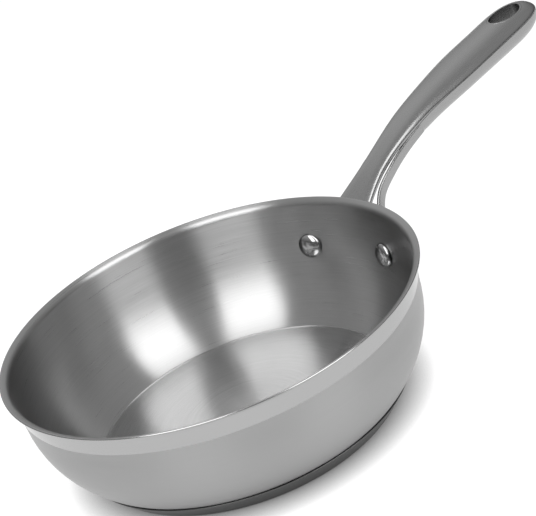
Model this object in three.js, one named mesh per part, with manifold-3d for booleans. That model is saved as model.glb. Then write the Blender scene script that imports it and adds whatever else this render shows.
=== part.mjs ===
// Deep saute pan: a drawn steel body on a capped heat-spreading base, with a hollow
// two-shell handle held by two rivets. Millimetres, +Z up, origin on the pan's axis at
// the underside of the base, handle along +X.
import * as THREE from 'three';
import { mergeVertices, toCreasedNormals } from 'three/addons/utils/BufferGeometryUtils.js';
import Module from 'manifold-3d';

const wasm = await Module();
wasm.setup();

const { degToRad } = THREE.MathUtils;

// Pan body
const LIP_RADIUS = 120;
const PAN_HEIGHT = 74;
const BODY_SHEET = 1.2;
const LIP_OVERHANG = 5.2; // how far the lip reaches past the wall
const WALL_RADIUS = LIP_RADIUS - LIP_OVERHANG; // outside of the wall, where the bowl curve starts
const WALL_FLARE = 1.8; // how far the straight wall leans out towards the lip
const CURVE_TOP = 54; // height where the straight wall turns into the bowl curve
const BOWL_CURVE = 58.1;
const KNEE_CURVE = 6.2; // fold between the bowl curve and the floor
const FLOOR_HEIGHT = 5;
const LIP_BEND = 2.4;
const LIP_TURN = degToRad(65);
const TURN_STEPS = 60;

// Base
const CAP_SHEET = 0.8;
const CAP_EDGE_ANGLE = degToRad(-47.6); // place of the cap's edge on the bowl curve
const CAP_TAPER = degToRad(41);
const CAP_FOOT_CURVE = 4;
const CORE_LAND_HEIGHT = 7.4; // top of the core, where it meets the cap's side

// Handle: distance from the wall, half width and height of the seam above the lip
const HANDLE_STATIONS = [
  [-8, 17, -18.5],
  [2, 15.1, -13.2],
  [35, 9.3, 2.3],
  [77, 12, 15.4],
  [125, 16.7, 22.2],
  [167, 17.1, 25.7],
  [203.4, 17.1, 28.8],
];
const HANDLE_SHEET = 1.5;
const TIP_ROUND_LENGTH = 34;
const TIP_ROUND_POWER = 2.9;
const TIP_FLAT = 0.03; // share of the section that is left at the very tip
const CROWN_ROOT = 4.4;
const CROWN_TIP = 6.2;
const DEPTH_ROOT = 9.9;
const DEPTH_TIP = 13.6;
const TOP_POWER = 1.8;
const BELLY_POWER = 2.4;
const TROUGH_START = 56; // distance from the wall to the end of the lower shell's trough
const TROUGH_RUN_IN = 24; // length over which the trough reaches its full depth
const TROUGH_START_DEPTH = 0.7; // share of the full depth at the trough's end

// Hanging hole
const HOLE_FROM_WALL = 181.7;
const HOLE_HALF_LENGTH = 12.8;
const HOLE_HALF_WIDTH = 8.7;
const SLEEVE_SHEET = 1.2;

// Handle root and rivets
const RIVET_BELOW_LIP = 29.4;
const RIVET_SPREAD = degToRad(15.3);
const SADDLE_SHEET = 1.5;
const SADDLE_HALF_HEIGHT = 11;
const TAB_HALF_WIDTH = 15;
const TAB_BELOW_LIP = 11;
const PAD_RADIUS = 9.5;
const PAD_SHEET = 1.5;
const LEG_WIDTH = 5.4;
const LEG_END_FROM_RIVET = 8;
const LEG_END_LEAN = degToRad(32);
const LEG_THICKNESS = 2;
const LEG_LAP = 16; // how far a leg runs on along the inside of the trough
// Middle of each leg: distance from the wall, from the handle's middle and above the lip
const LEG_STATIONS = [
  [56, 9.8, 6.2],
  [39.2, 10.8, 0.9],
  [24.1, 11.4, -7.2],
  [12, 17.5, -17],
];
const SHANK_RADIUS = 3;
const HEAD_RADIUS = 7.5;
const HEAD_HEIGHT = 3;
const TAIL_RADIUS = 5.5;
const TAIL_HEIGHT = 1.8;

// Blanks and cutting bars, which reach past the pieces that they shape
const CUT_LENGTH = 60;
const CUT_MARGIN = 3;
const HOLLOW_OVERRUN = 2;
const HOLLOW_SKIRT = 1;
const GRIP_SKIRT = 0.5;

const CLEARANCE = 0.3; // between pieces that meet

// Closed solid from a geometry, facing out
function solid(geometry) {
  geometry.deleteAttribute('normal');
  geometry.deleteAttribute('uv');
  const merged = mergeVertices(geometry, 1e-4);
  const points = merged.attributes.position.array;
  const index = merged.index.array;
  const a = new THREE.Vector3();
  const b = new THREE.Vector3();
  const c = new THREE.Vector3();
  const triangles = [];
  let volume = 0;
  for (let i = 0; i < index.length; i += 3) {
    const [p, q, r] = [index[i], index[i + 1], index[i + 2]];
    if (p === q || q === r || r === p) continue;
    triangles.push([p, q, r]);
    a.fromArray(points, p * 3);
    b.fromArray(points, q * 3);
    c.fromArray(points, r * 3);
    volume += a.dot(b.cross(c));
  }
  if (volume < 0) triangles.forEach((t) => t.reverse());
  return new wasm.Manifold(new wasm.Mesh({
    numProp: 3,
    vertProperties: new Float32Array(points),
    triVerts: new Uint32Array(triangles.flat()),
  }));
}

function geometryOf(body) {
  const source = body.getMesh();
  const geometry = new THREE.BufferGeometry();
  geometry.setAttribute('position', new THREE.BufferAttribute(source.vertProperties, 3));
  geometry.setIndex(new THREE.BufferAttribute(source.triVerts, 1));
  return geometry;
}

// Solid of revolution about +Z from a profile of radius and height
function turned(points, steps = TURN_STEPS) {
  return new THREE.LatheGeometry(points, steps).rotateX(Math.PI / 2);
}

// Solid that joins closed rings of points, with a flat end at each end
function loft(rings) {
  const size = rings[0].length;
  const index = [];
  for (let i = 0; i + 1 < rings.length; i++) {
    for (let j = 0; j < size; j++) {
      const k = (j + 1) % size;
      const low = i * size;
      const high = low + size;
      index.push(low + j, low + k, high + k, low + j, high + k, high + j);
    }
  }
  const last = (rings.length - 1) * size;
  for (let j = 1; j + 1 < size; j++) {
    index.push(0, j + 1, j, last, last + j, last + j + 1);
  }
  const geometry = new THREE.BufferGeometry().setFromPoints(rings.flat());
  geometry.setIndex(index);
  return geometry;
}

// Body profile, from the underside's centre over the lip to the cooking floor's centre
const underside = FLOOR_HEIGHT - BODY_SHEET;
const bowlCentre = new THREE.Vector2(WALL_RADIUS - BOWL_CURVE, CURVE_TOP);
const kneeCentre = new THREE.Vector2(0, underside + KNEE_CURVE);
kneeCentre.x = bowlCentre.x + Math.sqrt(
  (BOWL_CURVE - KNEE_CURVE) ** 2 - (bowlCentre.y - kneeCentre.y) ** 2);
const kneeEnd = kneeCentre.clone().sub(bowlCentre).angle() - 2 * Math.PI;
const neckRadius = WALL_RADIUS + WALL_FLARE;
const lipReach = (LIP_RADIUS - neckRadius - LIP_BEND * (1 - Math.cos(LIP_TURN)))
  / Math.sin(LIP_TURN);
const neckHeight = PAN_HEIGHT - (LIP_BEND + BODY_SHEET) * Math.sin(LIP_TURN)
  - lipReach * Math.cos(LIP_TURN);

function bodyProfile() {
  const lipEnd = (bend) => [
    neckRadius + LIP_BEND - bend * Math.cos(LIP_TURN) + lipReach * Math.sin(LIP_TURN),
    neckHeight + bend * Math.sin(LIP_TURN) + lipReach * Math.cos(LIP_TURN),
  ];
  const bend = LIP_BEND + BODY_SHEET;
  const path = new THREE.Path();
  path.moveTo(0, underside);
  path.lineTo(kneeCentre.x, underside);
  path.absarc(kneeCentre.x, kneeCentre.y, KNEE_CURVE, -Math.PI / 2, kneeEnd, false);
  path.absarc(bowlCentre.x, bowlCentre.y, BOWL_CURVE, kneeEnd, 0, false);
  path.absarc(neckRadius + LIP_BEND, neckHeight, LIP_BEND, Math.PI, Math.PI - LIP_TURN, true);
  path.lineTo(...lipEnd(LIP_BEND));
  path.lineTo(...lipEnd(bend));
  path.absarc(neckRadius + LIP_BEND, neckHeight, bend, Math.PI - LIP_TURN, Math.PI, false);
  path.absarc(bowlCentre.x, bowlCentre.y, BOWL_CURVE - BODY_SHEET, 0, kneeEnd, true);
  path.absarc(kneeCentre.x, kneeCentre.y, KNEE_CURVE - BODY_SHEET, kneeEnd, -Math.PI / 2, true);
  path.lineTo(0, FLOOR_HEIGHT);
  return path.getPoints(3);
}

// Base cap: a shallow dish whose edge lies on the bowl curve of the body
const capEdge = (radius) => [
  bowlCentre.x + radius * Math.cos(CAP_EDGE_ANGLE),
  bowlCentre.y + radius * Math.sin(CAP_EDGE_ANGLE),
];
const capInside = BOWL_CURVE + CLEARANCE;
const capOutside = capInside + CAP_SHEET;
const [capEdgeRadius, capEdgeHeight] = capEdge(capOutside);
const footCentre = capEdgeRadius
  - (CAP_FOOT_CURVE + Math.sin(CAP_TAPER) * (capEdgeHeight - CAP_FOOT_CURVE)) / Math.cos(CAP_TAPER);

function capProfile() {
  const path = new THREE.Path();
  path.moveTo(0, 0);
  path.lineTo(footCentre, 0);
  path.absarc(footCentre, CAP_FOOT_CURVE, CAP_FOOT_CURVE, -Math.PI / 2, -CAP_TAPER, false);
  path.lineTo(...capEdge(capOutside));
  path.lineTo(...capEdge(capInside));
  path.absarc(footCentre, CAP_FOOT_CURVE, CAP_FOOT_CURVE - CAP_SHEET, -CAP_TAPER, -Math.PI / 2, true);
  path.lineTo(0, CAP_SHEET);
  return path.getPoints(2);
}

// Heat-spreading core: fills the room between the body and the cap
function coreProfile() {
  const footCurve = CAP_FOOT_CURVE - CAP_SHEET - CLEARANCE;
  const landAngle = Math.asin((CORE_LAND_HEIGHT - bowlCentre.y) / capInside);
  const sideRise = CORE_LAND_HEIGHT - CAP_FOOT_CURVE + footCurve * Math.sin(CAP_TAPER);
  const landRadius = footCentre + footCurve * Math.cos(CAP_TAPER) + sideRise * Math.tan(CAP_TAPER);
  const path = new THREE.Path();
  path.moveTo(0, CAP_SHEET);
  path.lineTo(footCentre - CAP_FOOT_CURVE, CAP_SHEET);
  path.absarc(footCentre, CAP_FOOT_CURVE, footCurve, -Math.PI / 2, -CAP_TAPER, false);
  path.lineTo(landRadius, CORE_LAND_HEIGHT);
  path.absarc(bowlCentre.x, bowlCentre.y, capInside, landAngle, kneeEnd, true);
  path.absarc(kneeCentre.x, kneeCentre.y, KNEE_CURVE + CLEARANCE, kneeEnd, -Math.PI / 2, true);
  path.lineTo(kneeCentre.x - CAP_FOOT_CURVE, underside);
  path.lineTo(0, underside);
  return path.getPoints(2);
}

// Sheet that follows the outside of the wall, from one distance off it to another
function wallSheet(near, far, low, high) {
  const side = (off) => {
    const radius = BOWL_CURVE + off;
    const start = Math.asin((low - CURVE_TOP) / radius);
    const arc = new THREE.Path().absarc(bowlCentre.x, bowlCentre.y, radius, start, 0, false);
    const lean = WALL_FLARE * (high - CURVE_TOP) / (neckHeight - CURVE_TOP);
    const top = new THREE.Vector2(WALL_RADIUS + off + lean, high);
    return [...arc.getPoints(3), top];
  };
  const inner = near === null
    ? [new THREE.Vector2(0, low), new THREE.Vector2(0, high)]
    : side(near);
  const outline = [...side(far), ...inner.reverse()];
  outline.push(outline[0].clone());
  return solid(turned(outline));
}

// Handle sections along the seam line
const handleCurve = new THREE.CatmullRomCurve3(HANDLE_STATIONS.map(
  ([out, half, rise]) => new THREE.Vector3(WALL_RADIUS + out, half, PAN_HEIGHT + rise)));
const tipEnd = handleCurve.points.at(-1).x;
const tipStart = tipEnd - TIP_ROUND_LENGTH;

// Station on the seam line at a distance from the pan's axis
function stationAt(x) {
  let low = 0;
  let high = 1;
  for (let i = 0; i < 40; i++) {
    const mid = (low + high) / 2;
    if (handleCurve.getPoint(mid).x < x) low = mid;
    else high = mid;
  }
  const point = handleCurve.getPoint(low);
  const tangent = handleCurve.getTangent(low);
  return { point, slope: Math.atan2(tangent.z, tangent.x) };
}

function section(x, inset, side, skirt) {
  const { point, slope } = stationAt(x);
  const reach = Math.max(0, x + inset - tipStart) / TIP_ROUND_LENGTH;
  const round = Math.max(TIP_FLAT, (1 - Math.min(1, reach) ** TIP_ROUND_POWER)) ** (1 / TIP_ROUND_POWER);
  const along = THREE.MathUtils.smoothstep(x, WALL_RADIUS, tipEnd);
  const lerp = THREE.MathUtils.lerp;
  const troughEnd = WALL_RADIUS + TROUGH_START;
  const deepen = THREE.MathUtils.smoothstep(x, troughEnd, troughEnd + TROUGH_RUN_IN);
  const rise = side > 0
    ? lerp(CROWN_ROOT, CROWN_TIP, along)
    : lerp(DEPTH_ROOT, DEPTH_TIP, along) * lerp(TROUGH_START_DEPTH, 1, deepen);
  const half = point.y * round - inset * round;
  const height = (rise - inset) * round;
  const power = 2 / (side > 0 ? TOP_POWER : BELLY_POWER);
  const ring = [];
  const place = (y, h) => {
    ring.push(new THREE.Vector3(x - h * Math.sin(slope), y, point.z + h * Math.cos(slope)));
  };
  if (skirt > 0) place(half, -side * skirt);
  const steps = 12;
  for (let i = 0; i <= steps; i++) {
    const angle = Math.PI * i / steps;
    const cos = Math.cos(angle);
    const y = half * Math.sign(cos) * Math.abs(cos) ** power;
    const h = height * Math.max(0, Math.sin(angle)) ** power;
    place(y, side * (h + (skirt > 0 ? 0 : CLEARANCE / 2)));
  }
  if (skirt > 0) place(-half, -side * skirt);
  return ring;
}

// Half of the handle's outer form, or of its hollow when inset by the sheet
function handleHalf(side, from, inset, skirt) {
  const end = tipEnd - inset;
  const rings = [];
  const bodySteps = 15;
  for (let i = 0; i < bodySteps; i++) {
    rings.push(section(from + (tipStart - from) * i / bodySteps, inset, side, skirt));
  }
  const tipSteps = 6;
  for (let i = 0; i <= tipSteps; i++) {
    const reach = Math.sin(Math.PI / 2 * i / tipSteps);
    rings.push(section(tipStart + (end - tipStart) * reach, inset, side, skirt));
  }
  return solid(loft(rings));
}

function shell(side, from) {
  const hollow = handleHalf(side, from - HOLLOW_OVERRUN, HANDLE_SHEET, HOLLOW_SKIRT);
  return handleHalf(side, from, 0, 0).subtract(hollow);
}

// Oval prism through the handle at the hanging hole
function ovalPrism(halfLength, halfWidth) {
  const oval = new THREE.Shape();
  oval.absellipse(0, 0, halfLength, halfWidth, 0, 2 * Math.PI, false, 0);
  const prism = new THREE.ExtrudeGeometry(
    oval, { depth: CUT_LENGTH, bevelEnabled: false, curveSegments: 20 });
  const { point } = stationAt(WALL_RADIUS + HOLE_FROM_WALL);
  return solid(prism.translate(point.x, 0, point.z - CUT_LENGTH / 2));
}

// Rivet places on the outside of the wall, with the wall's own tilt there
const rivetHeight = PAN_HEIGHT - RIVET_BELOW_LIP;
const wallTilt = Math.asin((CURVE_TOP - rivetHeight) / BOWL_CURVE);
const rivetRadius = bowlCentre.x + BOWL_CURVE * Math.cos(wallTilt);

function rivetPlace(side) {
  const turn = side * RIVET_SPREAD;
  const axis = new THREE.Vector3(
    Math.cos(wallTilt) * Math.cos(turn), Math.cos(wallTilt) * Math.sin(turn), -Math.sin(wallTilt));
  const point = new THREE.Vector3(
    rivetRadius * Math.cos(turn), rivetRadius * Math.sin(turn), rivetHeight);
  const rotation = new THREE.Quaternion().setFromUnitVectors(new THREE.Vector3(0, 0, 1), axis);
  return { axis, point, rotation };
}

function cylinderAtRivet(side, radius, steps) {
  const { point, rotation } = rivetPlace(side);
  const cylinder = new THREE.CylinderGeometry(radius, radius, CUT_LENGTH, steps).rotateX(Math.PI / 2);
  return solid(cylinder.applyQuaternion(rotation).translate(...point));
}

const rivetHoles = cylinderAtRivet(1, SHANK_RADIUS + CLEARANCE, 16)
  .add(cylinderAtRivet(-1, SHANK_RADIUS + CLEARANCE, 16));

// Saddle: oblong plate on the wall that takes both rivets, with a tab up to the tongue
const saddleOutside = CLEARANCE + SADDLE_SHEET;
const tabTop = PAN_HEIGHT - TAB_BELOW_LIP;

function saddle() {
  const reach = rivetRadius * Math.sin(RIVET_SPREAD);
  const oblong = new THREE.Shape();
  oblong.absarc(reach, rivetHeight, SADDLE_HALF_HEIGHT, -Math.PI / 2, Math.PI / 2, false);
  oblong.absarc(-reach, rivetHeight, SADDLE_HALF_HEIGHT, Math.PI / 2, 3 * Math.PI / 2, false);
  const tab = new THREE.Shape([
    new THREE.Vector2(-TAB_HALF_WIDTH, rivetHeight),
    new THREE.Vector2(TAB_HALF_WIDTH, rivetHeight),
    new THREE.Vector2(TAB_HALF_WIDTH, tabTop),
    new THREE.Vector2(-TAB_HALF_WIDTH, tabTop),
  ]);
  const along = new THREE.Matrix4().makeBasis(
    new THREE.Vector3(0, 1, 0), new THREE.Vector3(0, 0, 1), new THREE.Vector3(1, 0, 0));
  const prism = (shape) => solid(new THREE.ExtrudeGeometry(
    shape, { depth: LIP_RADIUS * 2, bevelEnabled: false, curveSegments: 10 }).applyMatrix4(along));
  const low = rivetHeight - SADDLE_HALF_HEIGHT - CUT_MARGIN;
  const sheet = wallSheet(CLEARANCE, saddleOutside, low, tabTop);
  return sheet.intersect(prism(oblong).add(prism(tab)));
}

// Leg of the lower shell: a strip that turns from the shell's side to face the wall
const padInside = saddleOutside + CLEARANCE;

function leg(side) {
  const { axis, point } = rivetPlace(side);
  const start = stationAt(WALL_RADIUS + TROUGH_START + LEG_LAP).point;
  const top = LEG_WIDTH / 2 + CLEARANCE;
  const inward = new THREE.Vector3(Math.sin(RIVET_SPREAD), -side * Math.cos(RIVET_SPREAD), 0);
  const upward = new THREE.Vector3().crossVectors(inward, axis).multiplyScalar(side);
  const onPad = point.clone().addScaledVector(axis, padInside + PAD_SHEET / 2)
    .addScaledVector(upward, LEG_END_FROM_RIVET * Math.cos(LEG_END_LEAN))
    .addScaledVector(inward, LEG_END_FROM_RIVET * Math.sin(LEG_END_LEAN));
  const path = new THREE.CatmullRomCurve3([
    new THREE.Vector3(start.x, side * (start.y - LEG_THICKNESS / 2), start.z - top),
    ...LEG_STATIONS.map(([out, off, rise]) => new THREE.Vector3(
      WALL_RADIUS + out, side * off, PAN_HEIGHT + rise)),
    onPad,
  ]);
  const steps = 16;
  const rings = [];
  for (let i = 0; i <= steps; i++) {
    const t = i / steps;
    const centre = path.getPoint(t);
    const tangent = path.getTangent(t);
    const face = new THREE.Vector3(0, side, 0).lerp(axis, THREE.MathUtils.smoothstep(t, 0.4, 1));
    face.addScaledVector(tangent, -face.dot(tangent)).normalize();
    const across = new THREE.Vector3().crossVectors(tangent, face);
    const corner = (a, b) => centre.clone()
      .addScaledVector(across, a * LEG_WIDTH / 2)
      .addScaledVector(face, b * LEG_THICKNESS / 2);
    rings.push([corner(-1, -1), corner(1, -1), corner(1, 1), corner(-1, 1)]);
  }
  return solid(loft(rings));
}

function pad(side) {
  const low = rivetHeight - PAD_RADIUS - CUT_MARGIN;
  const high = rivetHeight + PAD_RADIUS + CUT_MARGIN;
  const sheet = wallSheet(padInside, padInside + PAD_SHEET, low, high);
  return sheet.intersect(cylinderAtRivet(side, PAD_RADIUS, 28));
}

const behindWall = wallSheet(null, CLEARANCE, FLOOR_HEIGHT, neckHeight);
const behindPads = wallSheet(null, padInside, FLOOR_HEIGHT, neckHeight);
const sleeveRoom = ovalPrism(
  HOLE_HALF_LENGTH + SLEEVE_SHEET + CLEARANCE, HOLE_HALF_WIDTH + SLEEVE_SHEET + CLEARANCE);

const bodySolid = solid(turned(bodyProfile())).subtract(rivetHoles);
const capSolid = solid(turned(capProfile()));
const coreSolid = solid(turned(coreProfile()));

const tongueStart = handleCurve.points[0].x;
const upperSolid = shell(1, tongueStart).subtract(behindWall).add(saddle())
  .subtract(rivetHoles).subtract(sleeveRoom);

const lowerSolid = shell(-1, WALL_RADIUS + TROUGH_START)
  .add(leg(1)).add(leg(-1)).subtract(behindPads)
  .add(pad(1)).add(pad(-1))
  .subtract(rivetHoles).subtract(sleeveRoom);

// Sleeve of the hanging hole, trimmed flush with both shells
const sleeveTube = ovalPrism(HOLE_HALF_LENGTH + SLEEVE_SHEET, HOLE_HALF_WIDTH + SLEEVE_SHEET)
  .subtract(ovalPrism(HOLE_HALF_LENGTH, HOLE_HALF_WIDTH));
const gripStart = WALL_RADIUS + TROUGH_START;
const sleeveSolid = sleeveTube.intersect(
  handleHalf(1, gripStart, 0, GRIP_SKIRT).add(handleHalf(-1, gripStart, 0, GRIP_SKIRT)));

// Rivet along +Z: domed head inside the pan, shank, upset tail on the pad
function rivetGeometry() {
  const sag = HEAD_RADIUS ** 2 / (2 * (BOWL_CURVE - BODY_SHEET));
  const headSeat = -BODY_SHEET - CLEARANCE - sag;
  const tailSeat = padInside + PAD_SHEET + CLEARANCE;
  const path = new THREE.Path();
  path.moveTo(0, headSeat - HEAD_HEIGHT);
  path.bezierCurveTo(
    HEAD_RADIUS * 0.6, headSeat - HEAD_HEIGHT,
    HEAD_RADIUS, headSeat - HEAD_HEIGHT * 0.55,
    HEAD_RADIUS, headSeat);
  path.lineTo(SHANK_RADIUS, headSeat);
  path.lineTo(SHANK_RADIUS, tailSeat);
  path.lineTo(TAIL_RADIUS, tailSeat);
  path.bezierCurveTo(
    TAIL_RADIUS, tailSeat + TAIL_HEIGHT * 0.6,
    TAIL_RADIUS * 0.6, tailSeat + TAIL_HEIGHT,
    0, tailSeat + TAIL_HEIGHT);
  return geometryOf(solid(turned(path.getPoints(5), 24)));
}

const brushed = new THREE.MeshStandardMaterial({ color: 0xb4b4b4, roughness: 0.32, metalness: 1 });
const capSteel = new THREE.MeshStandardMaterial({ color: 0x9c9c9c, roughness: 0.38, metalness: 1 });
const aluminium = new THREE.MeshStandardMaterial({ color: 0xc6c8ca, roughness: 0.5, metalness: 1 });
const handleSteel = new THREE.MeshStandardMaterial({ color: 0xaaaaaa, roughness: 0.36, metalness: 1 });
const rivetSteel = new THREE.MeshStandardMaterial({ color: 0xc8c8c8, roughness: 0.15, metalness: 1 });

const pan = new THREE.Group();

function addPiece(name, geometry, material) {
  const mesh = new THREE.Mesh(toCreasedNormals(geometry, degToRad(30)), material);
  mesh.name = name;
  pan.add(mesh);
  return mesh;
}

addPiece('pan_body', geometryOf(bodySolid), brushed);
addPiece('base_core', geometryOf(coreSolid), aluminium);
addPiece('base_cap', geometryOf(capSolid), capSteel);
addPiece('handle_upper_shell', geometryOf(upperSolid), handleSteel);
addPiece('handle_lower_shell', geometryOf(lowerSolid), handleSteel);
addPiece('hang_hole_sleeve', geometryOf(sleeveSolid), handleSteel);
for (const [name, side] of [['rivet_near', -1], ['rivet_far', 1]]) {
  const { point, rotation } = rivetPlace(side);
  const rivet = addPiece(name, rivetGeometry(), rivetSteel);
  rivet.position.copy(point);
  rivet.quaternion.copy(rotation);
}

export default pan;
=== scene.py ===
# Deep saute pan: a drawn steel bowl on a capped base, with a hollow riveted handle.
# Metres, +Z up, origin on the pan's axis at the underside of the base, handle along +X.
# The sizes of the pieces are in millimetres, which MM turns to metres.
import math

import bmesh
import bpy
from mathutils import Matrix, Vector
from mathutils.geometry import interpolate_bezier


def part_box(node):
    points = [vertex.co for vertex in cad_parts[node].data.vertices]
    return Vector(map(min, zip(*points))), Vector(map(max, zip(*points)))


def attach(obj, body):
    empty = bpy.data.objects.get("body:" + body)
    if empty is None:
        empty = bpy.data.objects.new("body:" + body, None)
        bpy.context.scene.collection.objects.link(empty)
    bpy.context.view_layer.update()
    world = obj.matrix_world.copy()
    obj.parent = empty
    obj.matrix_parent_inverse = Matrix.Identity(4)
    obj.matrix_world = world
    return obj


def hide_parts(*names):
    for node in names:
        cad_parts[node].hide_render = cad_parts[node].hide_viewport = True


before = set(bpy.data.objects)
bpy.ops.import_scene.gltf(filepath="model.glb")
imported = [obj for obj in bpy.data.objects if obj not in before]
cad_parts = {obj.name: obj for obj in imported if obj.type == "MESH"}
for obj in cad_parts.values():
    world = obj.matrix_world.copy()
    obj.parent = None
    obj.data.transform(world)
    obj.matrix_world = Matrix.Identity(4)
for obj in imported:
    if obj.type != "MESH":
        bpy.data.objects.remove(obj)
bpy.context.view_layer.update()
scene = bpy.context.scene
scene.view_settings.view_transform = "Standard"

# Pan body: one deep bowl drawn from stainless sheet, its lip rolled out for pouring.
# It is brushed in circles inside and satin outside, with a polished band under the lip.
MM = 0.001
LIP_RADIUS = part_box("pan_body")[1].x / MM
PAN_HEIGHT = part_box("pan_body")[1].z / MM
BODY_SHEET = 1.2
LIP_OVERHANG = 5.2
WALL_RADIUS = LIP_RADIUS - LIP_OVERHANG
WALL_FLARE = 1.8  # how far the wall leans out from the top of its curve to the lip
CURVE_TOP = 54
BOWL_CURVE = 58.1
KNEE_CURVE = 6.2
FLOOR_HEIGHT = 5
# The knee's flattest faces take the floor's lighter colour, which paints a light line along the fold.
FLOOR_AND_PAINTED_FOLD_FLATNESS = 0.94  # upward lean of a face's normal, above which it is finished as floor
LIP_BEND = 2.4
LIP_TURN = 65
BAND_BELOW_LIP = 13
TURN_STEPS = 192
KNEE_STEPS_OUTSIDE, KNEE_STEPS_INSIDE = 10, 8
CURVE_STEPS_OUTSIDE, CURVE_STEPS_INSIDE = 12, 24
BEND_STEPS_UNDER, BEND_STEPS_OVER, LIP_EDGE_STEPS = 8, 10, 8
BOWL_SHARP_EDGE = 30
MERGE_DISTANCE = 0.01
STROKE_LENGTH = 45
STROKE_CONTRAST = 0.2  # below this and above its opposite, a stroke is at its darkest and lightest
GRIT_LOW, GRIT_HIGH = 0.3, 0.7
GRIT_VARIES = 0.1
ACROSS_STROKES = 0.25  # a quarter turn from the strokes


def line_to(bm, start, radius, height):
    """Straight run of a turned profile, from a point to a radius and height."""
    end = bmesh.ops.extrude_vert_indiv(bm, verts=[start])["verts"][0]
    end.co = (radius * MM, 0, height * MM)
    return end


def arc_about(bm, start, radius, height, degrees, steps):
    """Round run of a turned profile, swung about a centre; positive degrees turn out to up."""
    swung = bmesh.ops.spin(
        bm, geom=[start], cent=(radius * MM, 0, height * MM), axis=(0, -1, 0),
        angle=math.radians(degrees), steps=steps)
    return next(part for part in swung["geom_last"] if isinstance(part, bmesh.types.BMVert))


def turn_profile(bm, steps):
    """Closed solid of revolution from the profile in a bmesh."""
    bmesh.ops.spin(
        bm, geom=bm.verts[:] + bm.edges[:], cent=(0, 0, 0), axis=(0, 0, 1),
        angle=2 * math.pi, steps=steps, use_merge=True)
    bmesh.ops.remove_doubles(bm, verts=bm.verts[:], dist=MERGE_DISTANCE * MM)
    bmesh.ops.recalc_face_normals(bm, faces=bm.faces[:])


def add_piece(name, bm, materials, sharp_degrees=35):
    """Finished piece from a bmesh, smooth except along its sharp edges."""
    for edge in bm.edges:
        edge.smooth = edge.calc_face_angle(0) < math.radians(sharp_degrees)
    for face in bm.faces:
        face.smooth = True
    mesh = bpy.data.meshes.new(name)
    bm.to_mesh(mesh)
    bm.free()
    for material in materials:
        mesh.materials.append(material)
    piece = bpy.data.objects.new(name, mesh)
    scene.collection.objects.link(piece)
    return piece


def linear(hex_colour):
    """Linear colour from an sRGB hex value."""
    channels = [int(hex_colour[i:i + 2], 16) / 255 for i in (1, 3, 5)]
    return [*(c / 12.92 if c <= 0.04045 else ((c + 0.055) / 1.055) ** 2.4 for c in channels), 1]


def add_node(tree, kind, links=None, **settings):
    """Node with its settings; links maps an input to a value or to another node's output."""
    node = tree.nodes.new(kind)
    for name, value in settings.items():
        setattr(node, name, value)
    for name, value in (links or {}).items():
        if isinstance(value, bpy.types.NodeSocket):
            tree.links.new(value, node.inputs[name])
        else:
            node.inputs[name].default_value = value
    return node


def bare_metal(name):
    """Metal with no finish yet: its material, node tree and shader."""
    material = bpy.data.materials.new(name)
    material.use_nodes = True
    shader = material.node_tree.nodes["Principled BSDF"]
    shader.inputs["Metallic"].default_value = 1
    return material, material.node_tree, shader


def lay_strokes(tree, shader, strokes, contrast, colour, roughness, depth_mm, tint):
    """Brush strokes on a metal: they shade it, vary its roughness and groove it."""
    shade = add_node(
        tree, "ShaderNodeMapRange",
        {"Value": strokes, "From Min": contrast, "From Max": 1 - contrast,
         "To Min": 1 - tint, "To Max": 1}).outputs[0]
    mixed = add_node(
        tree, "ShaderNodeVectorMath", {0: linear(colour)[:3], "Scale": shade}, operation="SCALE").outputs[0]
    grit = add_node(
        tree, "ShaderNodeMapRange",
        {"Value": strokes, "From Min": GRIT_LOW, "From Max": GRIT_HIGH,
         "To Min": roughness * (1 - GRIT_VARIES), "To Max": roughness * (1 + GRIT_VARIES)}).outputs[0]
    relief = add_node(
        tree, "ShaderNodeBump",
        {"Height": strokes, "Strength": 1, "Distance": depth_mm * MM}).outputs[0]
    for socket, value in (("Base Color", mixed), ("Roughness", grit), ("Normal", relief)):
        tree.links.new(value, shader.inputs[socket])


def turned_steel(name, colour, roughness, anisotropy, stroke_mm, depth_mm, tint):
    """Stainless steel finished on a lathe: fine strokes run round the axis in long arcs.
    The strokes spread a reflection across themselves, so lights draw out towards the axis."""
    material, tree, shader = bare_metal(name)
    shader.inputs["Anisotropic"].default_value = anisotropy
    shader.inputs["Anisotropic Rotation"].default_value = ACROSS_STROKES
    place = add_node(tree, "ShaderNodeTexCoord").outputs["Object"]
    split = add_node(tree, "ShaderNodeSeparateXYZ", {0: place}).outputs
    across = add_node(tree, "ShaderNodeCombineXYZ", {"X": split["X"], "Y": split["Y"]}).outputs[0]
    radius = add_node(tree, "ShaderNodeVectorMath", {0: across}, operation="LENGTH").outputs["Value"]
    travel = add_node(tree, "ShaderNodeMath", {0: radius, 1: split["Z"]}, operation="ADD").outputs[0]
    stroke_place = add_node(
        tree, "ShaderNodeCombineXYZ", {"X": split["X"], "Y": split["Y"], "Z": travel}).outputs[0]
    stroke_length = STROKE_LENGTH * MM
    scaled = add_node(
        tree, "ShaderNodeVectorMath",
        {0: stroke_place, 1: (1 / stroke_length, 1 / stroke_length, 1 / (stroke_mm * MM))},
        operation="MULTIPLY").outputs[0]
    strokes = add_node(
        tree, "ShaderNodeTexNoise",
        {"Vector": scaled, "Scale": 1, "Detail": 4, "Roughness": 0.65}).outputs["Fac"]
    lay_strokes(tree, shader, strokes, STROKE_CONTRAST, colour, roughness, depth_mm, tint)
    tangent = add_node(tree, "ShaderNodeTangent", direction_type="RADIAL", axis="Z").outputs[0]
    tree.links.new(tangent, shader.inputs["Tangent"])
    return material


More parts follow.
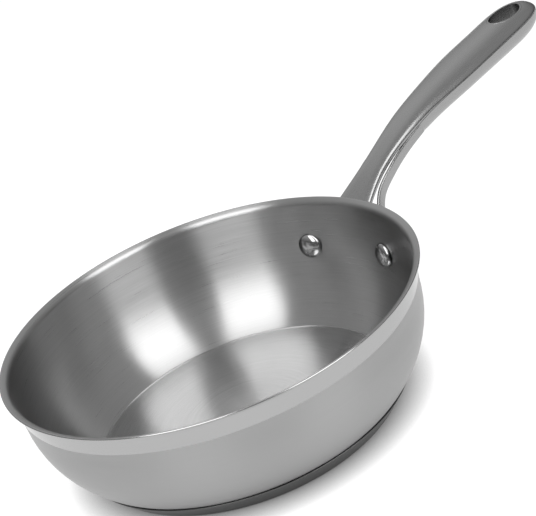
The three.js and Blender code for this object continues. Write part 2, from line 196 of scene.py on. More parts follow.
# Stainless steel brushed on a turntable: lights draw out up the wall and fan over the floor.
# The strokes are about 0.2 mm apart on the real pan, and are drawn wider here so that they show.
inside_steel = turned_steel(
    "circle_brushed_stainless", "#b2b2b2", roughness=0.3, anisotropy=1,
    stroke_mm=0.7, depth_mm=0.001, tint=0.18)
# The floor is the same steel in a lighter colour: the lightness is painted light, which brightens its
# reflections of the bright windows on the wall.
floor_steel_painted_light = turned_steel(
    "circle_brushed_floor_stainless_painted_light", "#dcdcdc", roughness=0.205, anisotropy=0.9,
    stroke_mm=0.7, depth_mm=0.001, tint=0.2)
# Fine satin steel: even and soft, with strokes too faint to see one by one.
outside_steel = turned_steel(
    "satin_stainless", "#a5a5a5", roughness=0.36, anisotropy=0.9,
    stroke_mm=0.7, depth_mm=0.001, tint=0.06)
# Polished steel: the same sheet buffed bright, which mirrors the table.
band_steel = turned_steel(
    "polished_stainless", "#a8a8a8", roughness=0.16, anisotropy=0.3,
    stroke_mm=0.7, depth_mm=0.001, tint=0.02)
BOWL_FINISHES = [inside_steel, floor_steel_painted_light, outside_steel, band_steel]

underside = FLOOR_HEIGHT - BODY_SHEET
bowl_radius, bowl_height = WALL_RADIUS - BOWL_CURVE, CURVE_TOP
knee_height = underside + KNEE_CURVE
knee_radius = bowl_radius + math.sqrt(
    (BOWL_CURVE - KNEE_CURVE) ** 2 - (bowl_height - knee_height) ** 2)
knee_turn = math.degrees(math.atan2(knee_radius - bowl_radius, bowl_height - knee_height))
neck_radius = WALL_RADIUS + WALL_FLARE
lip_sin, lip_cos = math.sin(math.radians(LIP_TURN)), math.cos(math.radians(LIP_TURN))
lip_reach = (LIP_RADIUS - neck_radius - LIP_BEND * (1 - lip_cos)) / lip_sin
neck_height = PAN_HEIGHT - (LIP_BEND + BODY_SHEET) * lip_sin - lip_reach * lip_cos
band_height = PAN_HEIGHT - BAND_BELOW_LIP
band_radius = WALL_RADIUS + WALL_FLARE * (band_height - CURVE_TOP) / (neck_height - CURVE_TOP)
lip_bend_radius = neck_radius + LIP_BEND


def lip_end(bend):
    """Radius and height of the lip's edge, at a distance from the centre of its bend."""
    return (lip_bend_radius - bend * lip_cos + lip_reach * lip_sin,
            neck_height + bend * lip_sin + lip_reach * lip_cos)


bowl = bmesh.new()
point = bowl.verts.new((0, 0, underside * MM))
point = line_to(bowl, point, knee_radius, underside)
point = arc_about(bowl, point, knee_radius, knee_height, knee_turn, KNEE_STEPS_OUTSIDE)
point = arc_about(bowl, point, bowl_radius, bowl_height, 90 - knee_turn, CURVE_STEPS_OUTSIDE)
point = line_to(bowl, point, band_radius, band_height)
point = line_to(bowl, point, neck_radius, neck_height)
point = arc_about(bowl, point, lip_bend_radius, neck_height, -LIP_TURN, BEND_STEPS_UNDER)
point = line_to(bowl, point, *lip_end(LIP_BEND))
point = arc_about(bowl, point, *lip_end(LIP_BEND + BODY_SHEET / 2), 180, LIP_EDGE_STEPS)
bend_top = LIP_BEND + BODY_SHEET
point = line_to(
    bowl, point, lip_bend_radius - bend_top * lip_cos, neck_height + bend_top * lip_sin)
point = arc_about(bowl, point, lip_bend_radius, neck_height, LIP_TURN, BEND_STEPS_OVER)
point = line_to(bowl, point, WALL_RADIUS - BODY_SHEET, CURVE_TOP)
point = arc_about(bowl, point, bowl_radius, bowl_height, knee_turn - 90, CURVE_STEPS_INSIDE)
point = arc_about(bowl, point, knee_radius, knee_height, -knee_turn, KNEE_STEPS_INSIDE)
point = line_to(bowl, point, knee_radius / 2, FLOOR_HEIGHT)
point = line_to(bowl, point, 0, FLOOR_HEIGHT)
turn_profile(bowl, TURN_STEPS)
for face in bowl.faces:
    middle = face.calc_center_median()
    radius = math.hypot(middle.x, middle.y)
    faces_out = face.normal.x * middle.x + face.normal.y * middle.y > 0
    on_bead = radius > lip_end(LIP_BEND)[0] * MM
    finish = inside_steel
    if on_bead or faces_out and middle.z > band_height * MM:
        finish = band_steel
    # The lower knee takes the floor's lighter finish too: a painted light line along the fold.
    elif face.normal.z > FLOOR_AND_PAINTED_FOLD_FLATNESS and middle.z < knee_height * MM:
        finish = floor_steel_painted_light
    elif faces_out or middle.z < FLOOR_HEIGHT * MM:
        finish = outside_steel
    face.material_index = BOWL_FINISHES.index(finish)
body = add_piece("pan_bowl", bowl, BOWL_FINISHES, BOWL_SHARP_EDGE)
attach(body, "root")
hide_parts("pan_body")

# Heat-spreading core: a disc of aluminium bonded under the bowl, closed in by the cap.
# Nothing of it shows, so it keeps the frame's own solid.
CORE_GRAIN = 3
CORE_ROUGH_LOW, CORE_ROUGH_HIGH = 0.42, 0.55

# Rolled aluminium: pale, matt and a little uneven.
core_metal, core_tree, core_shader = bare_metal("rolled_aluminium")
core_place = add_node(core_tree, "ShaderNodeTexCoord").outputs["Object"]
core_grain = add_node(
    core_tree, "ShaderNodeTexNoise",
    {"Vector": core_place, "Scale": 1 / (CORE_GRAIN * MM), "Detail": 3}).outputs["Fac"]
core_rough = add_node(
    core_tree, "ShaderNodeMapRange",
    {"Value": core_grain, "To Min": CORE_ROUGH_LOW, "To Max": CORE_ROUGH_HIGH}).outputs[0]
core_shader.inputs["Base Color"].default_value = linear("#d8dadc")
core_tree.links.new(core_rough, core_shader.inputs["Roughness"])
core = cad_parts["base_core"]
core.data.materials.clear()
core.data.materials.append(core_metal)

# Base cap: a shallow dish of magnetic stainless, pressed up round the core.
# Its edge lies on the bowl's curve, where it leaves a fine groove.
CAP_SHEET = 0.8
CAP_EDGE_ANGLE = -47.6
CAP_TAPER = 41
CAP_FOOT_CURVE = 4
FOOT_STEPS_OUTSIDE, FOOT_STEPS_INSIDE, CAP_EDGE_STEPS = 8, 6, 6
CLEARANCE = 0.3

# Satin magnetic stainless, duller than the bowl; its dark grey is painted shade, for the shadowed table it
# mirrors under the pan, so the base reads as a dark rim.
# Its strokes too are drawn wider than the real ones.
cap_steel_painted_shade = turned_steel(
    "satin_magnetic_stainless_painted_shade", "#686868", roughness=0.36, anisotropy=0.6,
    stroke_mm=0.9, depth_mm=0.002, tint=0.08)
edge_cos, edge_sin = math.cos(math.radians(CAP_EDGE_ANGLE)), math.sin(math.radians(CAP_EDGE_ANGLE))
taper_sin, taper_cos = math.sin(math.radians(CAP_TAPER)), math.cos(math.radians(CAP_TAPER))


def cap_edge(off):
    """Radius and height of the cap's edge, at a distance off the bowl's curve."""
    return (bowl_radius + (BOWL_CURVE + off) * edge_cos, bowl_height + (BOWL_CURVE + off) * edge_sin)


edge_radius, edge_height = cap_edge(CLEARANCE + CAP_SHEET)
foot_radius = edge_radius - (CAP_FOOT_CURVE + taper_sin * (edge_height - CAP_FOOT_CURVE)) / taper_cos
foot_inside = CAP_FOOT_CURVE - CAP_SHEET
dish = bmesh.new()
point = dish.verts.new((0, 0, 0))
point = line_to(dish, point, foot_radius, 0)
point = arc_about(dish, point, foot_radius, CAP_FOOT_CURVE, 90 - CAP_TAPER, FOOT_STEPS_OUTSIDE)
point = line_to(dish, point, edge_radius, edge_height)
point = arc_about(dish, point, *cap_edge(CLEARANCE + CAP_SHEET / 2), 180, CAP_EDGE_STEPS)
point = line_to(
    dish, point, foot_radius + foot_inside * taper_cos, CAP_FOOT_CURVE - foot_inside * taper_sin)
point = arc_about(dish, point, foot_radius, CAP_FOOT_CURVE, CAP_TAPER - 90, FOOT_STEPS_INSIDE)
point = line_to(dish, point, 0, CAP_SHEET)
turn_profile(dish, TURN_STEPS)
cap = add_piece("base_dish", dish, [cap_steel_painted_shade])
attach(cap, "root")
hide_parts("base_cap")

# Handle, upper shell: the top stamping of a hollow steel handle, with a soft ridge.
# Its tongue runs down behind the lip to a saddle plate that both rivets hold to the wall.
HANDLE_STATIONS = [  # distance from the wall, half width, rise of the seam above the lip
    (-8, 17, -18.5), (2, 15.1, -13.2), (35, 9.3, 2.3), (77, 12, 15.4),
    (125, 16.7, 22.2), (167, 17.1, 25.7), (203.4, 17.1, 28.8)]
HANDLE_SHEET = 1.5
TIP_LENGTH = 34
TIP_POWER = 2.9
CROWN_ROOT, CROWN_TIP = 3.2, 6.2
CROWN_POWER_ROOT, CROWN_POWER_TIP = 4, 1.8
RIDGE_START, RIDGE_FULL = 20, 110  # from the wall, where the flat tongue turns to a ridge
HOLE_FROM_WALL = 181.7
HOLE_HALF_LENGTH, HOLE_HALF_WIDTH = 12.8, 8.7
HOLE_CUT_BELOW_LIP, HOLE_CUT_LENGTH = 10, 60
SLEEVE_SHEET = 1.2
RIVET_BELOW_LIP = 29.4
RIVET_HEIGHT = PAN_HEIGHT - RIVET_BELOW_LIP
RIVET_SPREAD = 15.3  # degrees from the handle's middle
SADDLE_SHEET = 1.5
SADDLE_HALF_HEIGHT = 11
TAB_HALF_WIDTH = 15
TAB_FLARE = 4  # the tab's side runs out over this much to each side of its half width
TAB_BELOW_LIP = 11
TAB_TOP = PAN_HEIGHT - TAB_BELOW_LIP
TONGUE_SUNK = 6  # how far the tongue runs on past the wall before it is trimmed to it
SEAM_STEPS = 40
SHELL_ROWS, SHELL_COLUMNS = 120, 48
SADDLE_ROWS, SADDLE_COLUMNS = 60, 24
OVAL_STEPS = 72
WALL_CORE_STEPS = 8
LONG_STROKE_CONTRAST = 0.3


def smooth_path(points, steps):
    """Points along one smooth curve through the given ones."""
    run = [2 * points[0] - points[1], *points, 2 * points[-1] - points[-2]]
    path = []
    for a, b, c, d in zip(run, run[1:], run[2:], run[3:]):
        ab, bc, cd = (a - b).length ** 0.5, (b - c).length ** 0.5, (c - d).length ** 0.5
        leave = ((b - a) / ab - (c - a) / (ab + bc) + (c - b) / bc) * bc / 3
        arrive = ((c - b) / bc - (d - b) / (bc + cd) + (d - c) / cd) * bc / 3
        path += interpolate_bezier(b, b + leave, c - arrive, c, steps + 1)[:-1]
    return [*path, points[-1]]


seam_path = smooth_path(
    [Vector((WALL_RADIUS + out, half, PAN_HEIGHT + rise)) for out, half, rise in HANDLE_STATIONS],
    SEAM_STEPS)
tip_x = seam_path[-1].x
tip_start = tip_x - TIP_LENGTH


def smoothstep(value, low, high):
    """Share from 0 at the low value to 1 at the high one, with a soft start and end."""
    t = min(1, max(0, (value - low) / (high - low)))
    return t * t * (3 - 2 * t)


def blend(a, b, share):
    """Value between two others, at a share of the way."""
    return a + (b - a) * share


def seam_at(x):
    """Half width, height and slope of the handle's seam at a distance from the pan's axis."""
    i = next((i for i, p in enumerate(seam_path[1:-1]) if p.x >= x), len(seam_path) - 2)
    a, b = seam_path[i], seam_path[i + 1]
    at = a.lerp(b, (x - a.x) / (b.x - a.x))
    return at.y, at.z, math.atan2(b.z - a.z, b.x - a.x)


def power_turn(degrees, power):
    """Cosine and sine of a turn on an oval of the given power; 2 is a plain ellipse."""
    turn = [math.cos(math.radians(degrees)), math.sin(math.radians(degrees))]
    return [math.copysign(abs(value) ** (2 / power), value) for value in turn]


def handle_station(share, root_x, tip_share=0.3):
    """Place along the handle for a share of its rows, and how far the tip has closed there."""
    if share <= 1 - tip_share:
        return root_x + (tip_start - root_x) * share / (1 - tip_share), 1
    closing, reach = power_turn(90 * (share - 1 + tip_share) / tip_share, TIP_POWER)
    return tip_start + TIP_LENGTH * reach, closing


def handle_skin(x, closing, turn_degrees, rise, power, side):
    """Point on the handle's skin; the turn runs from the near seam over to the far one."""
    half, height, slope = seam_at(x)
    across, up = power_turn(turn_degrees, power)
    lift = side * (rise * max(0, up) * closing + CLEARANCE / 2)
    return Vector((x - lift * math.sin(slope), half * across * closing, height + lift * math.cos(slope)))


def press(bm, rows, columns, form):
    """Sheet pressed into shape: form gives the place of a point of the flat blank, in mm."""
    made = bmesh.ops.create_grid(bm, x_segments=rows, y_segments=columns, size=1)["verts"]
    for vert in made:
        vert.co = form((vert.co.x + 1) / 2, (vert.co.y + 1) / 2) * MM
    bmesh.ops.remove_doubles(bm, verts=made, dist=MERGE_DISTANCE * MM)
    return [vert for vert in made if vert.is_valid]


def thicken(bm, sheet):
    """Wall of a pressed sheet, grown inwards."""
    bmesh.ops.recalc_face_normals(bm, faces=bm.faces[:])
    bmesh.ops.solidify(bm, geom=bm.faces[:], thickness=sheet * MM)


def wall_point(arc, height, off):
    """Point off the outside of the pan's wall, by the arc's length from the handle's middle."""
    if height < CURVE_TOP:
        radius = bowl_radius + math.sqrt(BOWL_CURVE ** 2 - (height - bowl_height) ** 2) + off
    else:
        radius = WALL_RADIUS + WALL_FLARE * (height - CURVE_TOP) / (neck_height - CURVE_TOP) + off
    turn = arc / WALL_RADIUS
    return Vector((radius * math.cos(turn), radius * math.sin(turn), height))


def wall_core(off):
    """Solid that fills the pan out to a distance off the outside of its wall."""
    bm = bmesh.new()
    low_turn = math.degrees(math.asin((CURVE_TOP - knee_height) / (BOWL_CURVE + off)))
    low_radius = bowl_radius + (BOWL_CURVE + off) * math.cos(math.radians(low_turn))
    point = bm.verts.new((0, 0, knee_height * MM))
    point = line_to(bm, point, low_radius, knee_height)
    point = arc_about(bm, point, bowl_radius, bowl_height, low_turn, WALL_CORE_STEPS)
    point = line_to(bm, point, neck_radius + off, neck_height)
    line_to(bm, point, 0, neck_height)
    turn_profile(bm, TURN_STEPS)
    return bm


def crown_point(x, closing, turn_degrees):
    """Point on the handle's top, which is flat at the tongue and ridged along the grip."""
    ridge = smoothstep(x, WALL_RADIUS + RIDGE_START, WALL_RADIUS + RIDGE_FULL)
    rise = blend(CROWN_ROOT, CROWN_TIP, smoothstep(x, WALL_RADIUS, tip_x))
    return handle_skin(
        x, closing, turn_degrees, rise, blend(CROWN_POWER_ROOT, CROWN_POWER_TIP, ridge), 1)


def upper_form(along, across):
    """Form of the upper shell, from inside the pan's wall to the tip."""
    x, closing = handle_station(along, WALL_RADIUS - TONGUE_SUNK)
    return crown_point(x, closing, 180 * across)


rivet_arc = math.radians(RIVET_SPREAD) * WALL_RADIUS


def saddle_form(along, across):
    """Form of the saddle plate on the wall: rounded ends, and a tab up to the tongue."""
    arc = (2 * along - 1) * (rivet_arc + SADDLE_HALF_HEIGHT)
    past = max(0, abs(arc) - rivet_arc)
    half = math.sqrt(max(0, SADDLE_HALF_HEIGHT ** 2 - past ** 2))
    tab = (TAB_TOP - RIVET_HEIGHT - SADDLE_HALF_HEIGHT) * smoothstep(
        -abs(arc), -TAB_HALF_WIDTH - TAB_FLARE, -TAB_HALF_WIDTH + TAB_FLARE)
    up = 2 * across - 1
    return wall_point(arc, RIVET_HEIGHT + up * (half + (tab if up > 0 else 0)), CLEARANCE + SADDLE_SHEET)


def oval_cutter(half_length, half_width):
    """Oval bar through the handle, for the hanging hole."""
    bm = bmesh.new()
    ring = bmesh.ops.create_circle(bm, cap_ends=True, segments=OVAL_STEPS, radius=1)["verts"]
    bmesh.ops.scale(bm, vec=(half_length * MM, half_width * MM, 1), verts=ring)
    bmesh.ops.translate(
        bm, vec=((WALL_RADIUS + HOLE_FROM_WALL) * MM, 0, (PAN_HEIGHT - HOLE_CUT_BELOW_LIP) * MM),
        verts=ring)
    grown = bmesh.ops.extrude_face_region(bm, geom=bm.faces[:])["geom"]
    bmesh.ops.translate(
        bm, vec=(0, 0, HOLE_CUT_LENGTH * MM),
        verts=[part for part in grown if isinstance(part, bmesh.types.BMVert)])
    bmesh.ops.recalc_face_normals(bm, faces=bm.faces[:])
    return bm


def trim(piece, bm, operation):
    """Piece cut by, or kept within, the solid in a bmesh."""
    mesh = bpy.data.meshes.new("cutter")
    bm.to_mesh(mesh)
    bm.free()
    cutter = bpy.data.objects.new("cutter", mesh)
    scene.collection.objects.link(cutter)
    step = piece.modifiers.new("trim", "BOOLEAN")
    step.object = cutter
    step.operation = operation
    step.solver = "EXACT"
    step.use_self = True
    done = piece.evaluated_get(bpy.context.evaluated_depsgraph_get())
    piece.data = bpy.data.meshes.new_from_object(done)
    piece.modifiers.clear()
    bpy.data.objects.remove(cutter)


def brushed_steel(name, colour, roughness, stroke_mm, stroke_length_mm, depth_mm, tint):
    """Stainless steel brushed by hand along the handle, with faint long strokes."""
    material, tree, shader = bare_metal(name)
    place = add_node(tree, "ShaderNodeTexCoord").outputs["Object"]
    scaled = add_node(
        tree, "ShaderNodeVectorMath",
        {0: place, 1: (1 / (stroke_length_mm * MM), 1 / (stroke_mm * MM), 1 / (stroke_mm * MM))},
        operation="MULTIPLY").outputs[0]
    strokes = add_node(
        tree, "ShaderNodeTexNoise",
        {"Vector": scaled, "Scale": 1, "Detail": 4, "Roughness": 0.6}).outputs["Fac"]
    lay_strokes(tree, shader, strokes, LONG_STROKE_CONTRAST, colour, roughness, depth_mm, tint)
    return material


# Satin stainless: the stamping is brushed lengthwise, so its round sides shade softly.
# Its strokes are drawn wider than the real ones, so that they show.
handle_steel = brushed_steel(
    "long_brushed_stainless", "#9e9e9e", roughness=0.28,
    stroke_mm=0.8, stroke_length_mm=40, depth_mm=0.0005, tint=0.06)

upper = bmesh.new()
press(upper, SHELL_ROWS, SHELL_COLUMNS, upper_form)
thicken(upper, HANDLE_SHEET)
upper_shell = add_piece("handle_top", upper, [handle_steel])
shell_hole = (HOLE_HALF_LENGTH + SLEEVE_SHEET, HOLE_HALF_WIDTH + SLEEVE_SHEET)
trim(upper_shell, oval_cutter(*shell_hole), "DIFFERENCE")
trim(upper_shell, wall_core(CLEARANCE), "DIFFERENCE")
saddle = bmesh.new()
press(saddle, SADDLE_ROWS, SADDLE_COLUMNS, saddle_form)
thicken(saddle, SADDLE_SHEET)
saddle_plate = add_piece("handle_saddle", saddle, [handle_steel])
for piece in (upper_shell, saddle_plate):
    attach(piece, "root")
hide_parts("handle_upper_shell")

# Handle, lower shell: the bottom stamping, welded to the top one along the seam.
# It parts into two legs beside the tongue, which end in pads under the rivets.
DEPTH_ROOT, DEPTH_TIP = 9.9, 13.6
BELLY_POWER = 2.4
TROUGH_START = 56
TROUGH_RUN_IN = 24
TROUGH_START_DEPTH = 0.7
PAD_RADIUS = 9.5
PAD_SHEET = 1.5
PAD_CHAMFER = 0.4
LEG_WIDTH = 6.2
LEG_THICKNESS = 2
LEG_POWER = 5
LEG_LAP = 16  # how far a leg runs on inside the shell
LEG_TWIST_START = 0.7  # share of its length where a leg starts to turn to the wall
LEG_END_FROM_RIVET = 8
LEG_END_LEAN = 32
LEG_PATH_STEPS = 16
LEG_ROWS, LEG_COLUMNS = 60, 32
ROUND_STEPS = 64
LEG_STATIONS = [  # distance from the wall, from the handle's middle and above the lip
    (56, 9.8, 6.2), (39.2, 10.8, 0.9), (24.1, 11.4, -7.2), (12, 17.5, -17)]


def lower_form(along, across):
    """Form of the lower shell, which starts shallow where the legs leave it."""
    trough_x = WALL_RADIUS + TROUGH_START
    x, closing = handle_station(along, trough_x)
    deepen = blend(TROUGH_START_DEPTH, 1, smoothstep(x, trough_x, trough_x + TROUGH_RUN_IN))
    rise = blend(DEPTH_ROOT, DEPTH_TIP, smoothstep(x, WALL_RADIUS, tip_x)) * deepen
    return handle_skin(x, closing, 180 * across, rise, BELLY_POWER, -1)


wall_tilt = math.asin((CURVE_TOP - RIVET_HEIGHT) / BOWL_CURVE)


def rivet_frame(side):
    """Place of a rivet on the outside of the wall, with its own Z out along the rivet."""
    turn = Matrix.Rotation(math.radians(side * RIVET_SPREAD), 4, "Z")
    tilt = Matrix.Rotation(math.pi / 2 + wall_tilt, 4, "Y")
    return Matrix.Translation(wall_point(side * rivet_arc, RIVET_HEIGHT, 0) * MM) @ turn @ tilt


pad_inside = CLEARANCE + SADDLE_SHEET + CLEARANCE


def leg_form(side):
    """Form of one leg: a strip that turns from the shell's side to face the wall."""
    place = rivet_frame(side)
    axis = (place.to_3x3() @ Vector((0, 0, 1))).normalized()
    inward = Vector((
        math.sin(math.radians(RIVET_SPREAD)), -side * math.cos(math.radians(RIVET_SPREAD)), 0))
    upward = side * inward.cross(axis)
    lap_x = WALL_RADIUS + TROUGH_START + LEG_LAP
    half, height, _ = seam_at(lap_x)
    lean = math.radians(LEG_END_LEAN)
    on_pad = (place.translation / MM + axis * (pad_inside + PAD_SHEET / 2)
              + upward * LEG_END_FROM_RIVET * math.cos(lean)
              + inward * LEG_END_FROM_RIVET * math.sin(lean))
    path = smooth_path([
        Vector((lap_x, side * (half - LEG_THICKNESS / 2), height - LEG_WIDTH / 2 - CLEARANCE)),
        *(Vector((WALL_RADIUS + out, side * off, PAN_HEIGHT + rise)) for out, off, rise in LEG_STATIONS),
        on_pad], LEG_PATH_STEPS)

    def form(along, around):
        at = along * (len(path) - 1)
        i = min(int(at), len(path) - 2)
        ahead = (path[i + 1] - path[i]).normalized()
        face = Vector((0, side, 0)).lerp(axis, smoothstep(along, LEG_TWIST_START, 1))
        face = (face - ahead * face.dot(ahead)).normalized()
        wide, thick = power_turn(360 * around, LEG_POWER)
        return (path[i].lerp(path[i + 1], at - i) + ahead.cross(face) * wide * LEG_WIDTH / 2
                + face * thick * LEG_THICKNESS / 2)
    return form


lower = bmesh.new()
press(lower, SHELL_ROWS, SHELL_COLUMNS, lower_form)
thicken(lower, HANDLE_SHEET)
lower_shell = add_piece("handle_bottom", lower, [handle_steel])
trim(lower_shell, oval_cutter(*shell_hole), "DIFFERENCE")
legs = []
for side, name in ((-1, "near"), (1, "far")):
    strip = bmesh.new()
    press(strip, LEG_ROWS, LEG_COLUMNS, leg_form(side))
    bmesh.ops.holes_fill(strip, edges=strip.edges[:])
    bmesh.ops.recalc_face_normals(strip, faces=strip.faces[:])
    legs.append(add_piece(f"handle_leg_{name}", strip, [handle_steel]))
    disc = bmesh.new()
    point = disc.verts.new((0, 0, pad_inside * MM))
    point = line_to(disc, point, PAD_RADIUS - PAD_CHAMFER, pad_inside)
    point = line_to(disc, point, PAD_RADIUS, pad_inside + PAD_CHAMFER)
    point = line_to(disc, point, PAD_RADIUS, pad_inside + PAD_SHEET - PAD_CHAMFER)
    point = line_to(disc, point, PAD_RADIUS - PAD_CHAMFER, pad_inside + PAD_SHEET)
    point = line_to(disc, point, 0, pad_inside + PAD_SHEET)
    turn_profile(disc, ROUND_STEPS)
    disc.transform(rivet_frame(side))
    legs.append(add_piece(f"handle_pad_{name}", disc, [handle_steel]))
for piece in (lower_shell, *legs):
    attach(piece, "root")
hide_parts("handle_lower_shell")

# Hanging hole: an oval sleeve of steel that lines the hole through both shells.
# Its ends are trimmed flush with the handle's skin, and it has the handle's brushed finish.
GRIP_COLUMNS = 96

sleeve_bar = oval_cutter(*(half - CLEARANCE / 2 for half in shell_hole))
sleeve = add_piece("hang_hole_lining", sleeve_bar, [handle_steel])
trim(sleeve, oval_cutter(HOLE_HALF_LENGTH, HOLE_HALF_WIDTH), "DIFFERENCE")


def grip_form(along, around):
    """Form of the whole grip round the hole, which the sleeve is trimmed to."""
    x, closing = handle_station(along, WALL_RADIUS + TROUGH_START + TROUGH_RUN_IN)
    if around <= 0.5:
        return crown_point(x, closing, 360 * around)
    rise = blend(DEPTH_ROOT, DEPTH_TIP, smoothstep(x, WALL_RADIUS, tip_x))
    return handle_skin(x, closing, 360 - 360 * around, rise, BELLY_POWER, -1)


grip = bmesh.new()
press(grip, SHELL_ROWS, GRIP_COLUMNS, grip_form)
bmesh.ops.holes_fill(grip, edges=grip.edges[:])
bmesh.ops.recalc_face_normals(grip, faces=grip.faces[:])
trim(sleeve, grip, "INTERSECT")
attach(sleeve, "root")
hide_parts("hang_hole_sleeve")

# Rivets: two solid steel rivets through the wall, the saddle and a pad.
# Their domed heads are polished inside the pan, and their tails are upset on the pads.
SHANK_RADIUS = 3
HEAD_RADIUS, HEAD_HEIGHT = 7.5, 3
TAIL_RADIUS, TAIL_HEIGHT = 5.5, 1.8
DOME_FULLNESS, DOME_SHOULDER = 0.6, 0.55  # pull of the curve's handles, in shares of its sizes
DOME_STEPS, UPSET_STEPS = 16, 10

# Polished stainless: each head mirrors the lights and the wall in small bright and dark patches.
rivet_steel = brushed_steel(
    "polished_rivet_stainless", "#b0b0b0", roughness=0.1,
    stroke_mm=0.5, stroke_length_mm=3, depth_mm=0.001, tint=0.03)
head_sag = HEAD_RADIUS ** 2 / (2 * (BOWL_CURVE - BODY_SHEET))
head_seat = -BODY_SHEET - CLEARANCE - head_sag
tail_seat = pad_inside + PAD_SHEET + CLEARANCE
for side, name in ((-1, "near"), (1, "far")):
    rivet = bmesh.new()
    dome = interpolate_bezier(
        Vector((0, head_seat - HEAD_HEIGHT)),
        Vector((HEAD_RADIUS * DOME_FULLNESS, head_seat - HEAD_HEIGHT)),
        Vector((HEAD_RADIUS, head_seat - HEAD_HEIGHT * DOME_SHOULDER)),
        Vector((HEAD_RADIUS, head_seat)), DOME_STEPS)
    upset = interpolate_bezier(
        Vector((TAIL_RADIUS, tail_seat)),
        Vector((TAIL_RADIUS, tail_seat + TAIL_HEIGHT * DOME_FULLNESS)),
        Vector((TAIL_RADIUS * DOME_FULLNESS, tail_seat + TAIL_HEIGHT)),
        Vector((0, tail_seat + TAIL_HEIGHT)), UPSET_STEPS)
    point = rivet.verts.new((0, 0, dome[0].y * MM))
    for radius, height in [*dome[1:], (SHANK_RADIUS, head_seat), (SHANK_RADIUS, tail_seat), *upset]:
        point = line_to(rivet, point, radius, height)
    turn_profile(rivet, ROUND_STEPS)
    rivet.transform(rivet_frame(side))
    piece = add_piece(f"rivet_{name}_polished", rivet, [rivet_steel])
    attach(piece, "root")
    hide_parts(f"rivet_{name}")

# Table: a plain sheet of pale matt paper under the pan, which keeps a soft shadow.
# A little light of its own, for what the eye and the metal see, lifts it to white.
# Sizes here are in metres.
TABLE_HALF = 3
TABLE_BELOW = 0.2 * MM
LIFT_NEAR, LIFT_FAR = 0.8, 0.84  # light of its own by the pan, and at the edge of the view
LIFT_START, LIFT_END = 0.15, 0.8
SHADOW_REACH = 0.016

table_bm = bmesh.new()
bmesh.ops.create_grid(table_bm, x_segments=1, y_segments=1, size=TABLE_HALF)
bmesh.ops.translate(table_bm, vec=(0, 0, -TABLE_BELOW), verts=table_bm.verts[:])
# Pale paper, matt and without gloss: it takes the lights evenly and shows only the shadow.
table_paint = bpy.data.materials.new("matt_pale_paper")
table_paint.use_nodes = True
tree = table_paint.node_tree
paper = tree.nodes["Principled BSDF"]
paper.inputs["Base Color"].default_value = linear("#9c9c9c")
paper.inputs["Roughness"].default_value = 0.9
paper.inputs["Specular IOR Level"].default_value = 0
seen = add_node(tree, "ShaderNodeLightPath").outputs
by_eye = add_node(
    tree, "ShaderNodeMath", {0: seen["Is Camera Ray"], 1: seen["Is Glossy Ray"]},
    operation="MAXIMUM").outputs[0]
lift = add_node(
    tree, "ShaderNodeMath", {0: by_eye, 1: seen["Is Transmission Ray"]}, operation="MAXIMUM").outputs[0]
open_sky = add_node(
    tree, "ShaderNodeAmbientOcclusion", {"Distance": SHADOW_REACH}, samples=8).outputs["AO"]
from_pan = add_node(
    tree, "ShaderNodeVectorMath", {0: add_node(tree, "ShaderNodeTexCoord").outputs["Object"]},
    operation="LENGTH").outputs["Value"]
most = add_node(
    tree, "ShaderNodeMapRange",
    {"Value": from_pan, "From Min": LIFT_START, "From Max": LIFT_END,
     "To Min": LIFT_NEAR, "To Max": LIFT_FAR}).outputs[0]
seen_lift = add_node(tree, "ShaderNodeMath", {0: lift, 1: most}, operation="MULTIPLY").outputs[0]
strength = add_node(tree, "ShaderNodeMath", {0: seen_lift, 1: open_sky}, operation="MULTIPLY").outputs[0]
glow = add_node(tree, "ShaderNodeEmission", {"Strength": strength}).outputs[0]
both = add_node(tree, "ShaderNodeAddShader", {0: paper.outputs[0], 1: glow}).outputs[0]
tree.links.new(both, tree.nodes["Material Output"].inputs["Surface"])
table = add_piece("table", table_bm, [table_paint])

# Studio light: two long soft boxes lean in over the pan, one on each side of the camera.
# They make the two bright windows on the bowl's far side. A pale sweep stands behind the pan,
# and the rest of the room is dim. Distances are in metres and angles in degrees.
BOX_DISTANCE = 0.7
BOX_RADIANCE = 3
BOX_LOW, BOX_HIGH = -0.3, 1.1  # ends of a box from its middle line, in shares of its distance
ROOM_LOW, ROOM_HIGH = 0.02, 0.48  # at the floor line and overhead
ROOM_HIGH_ELEVATION = 38
SWEEP_LIGHT = 0.35
SWEEP_AZIMUTH, SWEEP_ELEVATION = 60, 25
SWEEP_FULL, SWEEP_END = 18, 33  # degrees from its middle where the pale sweep fades out


def aimed(azimuth, elevation, roll):
    """Turn of a lamp or a camera that looks at the pan from an azimuth and an elevation."""
    return (
        Matrix.Rotation(math.radians(azimuth + 90), 4, "Z")
        @ Matrix.Rotation(math.radians(90 - elevation), 4, "X")
        @ Matrix.Rotation(math.radians(roll), 4, "Z"))


def soft_box(name, azimuth, elevation, roll, half_width):
    """Long soft light that faces the pan; its half width is a share of its distance."""
    lamp = bpy.data.lights.new(name, "AREA")
    lamp.shape = "RECTANGLE"
    lamp.size = 2 * half_width * BOX_DISTANCE
    lamp.size_y = (BOX_HIGH - BOX_LOW) * BOX_DISTANCE
    lamp.energy = BOX_RADIANCE * math.pi * lamp.size * lamp.size_y
    box = bpy.data.objects.new(name, lamp)
    middle = (0, (BOX_LOW + BOX_HIGH) / 2 * BOX_DISTANCE, BOX_DISTANCE)
    box.matrix_world = aimed(azimuth, elevation, roll) @ Matrix.Translation(middle)
    scene.collection.objects.link(box)


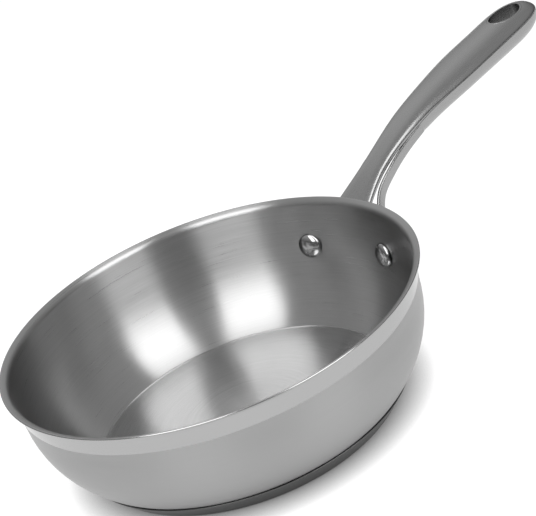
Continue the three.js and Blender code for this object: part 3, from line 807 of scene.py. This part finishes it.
soft_box("right_soft_box", azimuth=-83, elevation=39, roll=-18, half_width=0.25)
soft_box("left_soft_box", azimuth=-158, elevation=43, roll=16, half_width=0.28)
scene.world = bpy.data.worlds.new("dim_studio_room")
scene.world.use_nodes = True
room = scene.world.node_tree
outward = add_node(room, "ShaderNodeTexCoord").outputs["Generated"]
upright = add_node(room, "ShaderNodeSeparateXYZ", {0: outward}).outputs["Z"]
upward = add_node(room, "ShaderNodeMath", {0: upright}, operation="ABSOLUTE").outputs[0]
room_grey = add_node(
    room, "ShaderNodeMapRange",
    {"Value": upward, "From Min": 0, "From Max": math.sin(math.radians(ROOM_HIGH_ELEVATION)),
     "To Min": ROOM_LOW, "To Max": ROOM_HIGH}).outputs[0]
sweep_turn, sweep_tip = math.radians(SWEEP_AZIMUTH), math.radians(SWEEP_ELEVATION)
sweep_middle = (
    math.cos(sweep_tip) * math.cos(sweep_turn),
    math.cos(sweep_tip) * math.sin(sweep_turn),
    math.sin(sweep_tip))
to_sweep = add_node(
    room, "ShaderNodeVectorMath", {0: outward, 1: sweep_middle}, operation="DOT_PRODUCT").outputs["Value"]
sweep = add_node(
    room, "ShaderNodeMapRange",
    {"Value": to_sweep, "From Min": math.cos(math.radians(SWEEP_END)),
     "From Max": math.cos(math.radians(SWEEP_FULL)), "To Min": 0, "To Max": SWEEP_LIGHT}).outputs[0]
room_light = add_node(room, "ShaderNodeMath", {0: room_grey, 1: sweep}, operation="ADD").outputs[0]
room.links.new(room_light, room.nodes["Background"].inputs["Strength"])
room.nodes["Background"].inputs["Color"].default_value = (1, 1, 1, 1)

# Camera: the photograph's viewpoint, solved from the circles of the lip, base and floor.
# A long lens looks down from about a metre away, and leans to one side.
IMAGE_WIDTH = 536
FOCAL_PIXELS = 1763.5
SENSOR_WIDTH = 36
VIEW_END = 20
CAMERA_PLACE = (-0.50083, -0.70474, 0.49127)
CAMERA_AZIMUTH, CAMERA_ELEVATION, CAMERA_ROLL = -128.098, 24.981, -20.244

camera_data = bpy.data.cameras.new("photograph_view")
camera_data.sensor_width = SENSOR_WIDTH
camera_data.lens = SENSOR_WIDTH * FOCAL_PIXELS / IMAGE_WIDTH
camera_data.clip_end = VIEW_END
camera = bpy.data.objects.new("photograph_view", camera_data)
camera.matrix_world = (
    Matrix.Translation(CAMERA_PLACE) @ aimed(CAMERA_AZIMUTH, CAMERA_ELEVATION, CAMERA_ROLL))
scene.collection.objects.link(camera)
scene.camera = camera
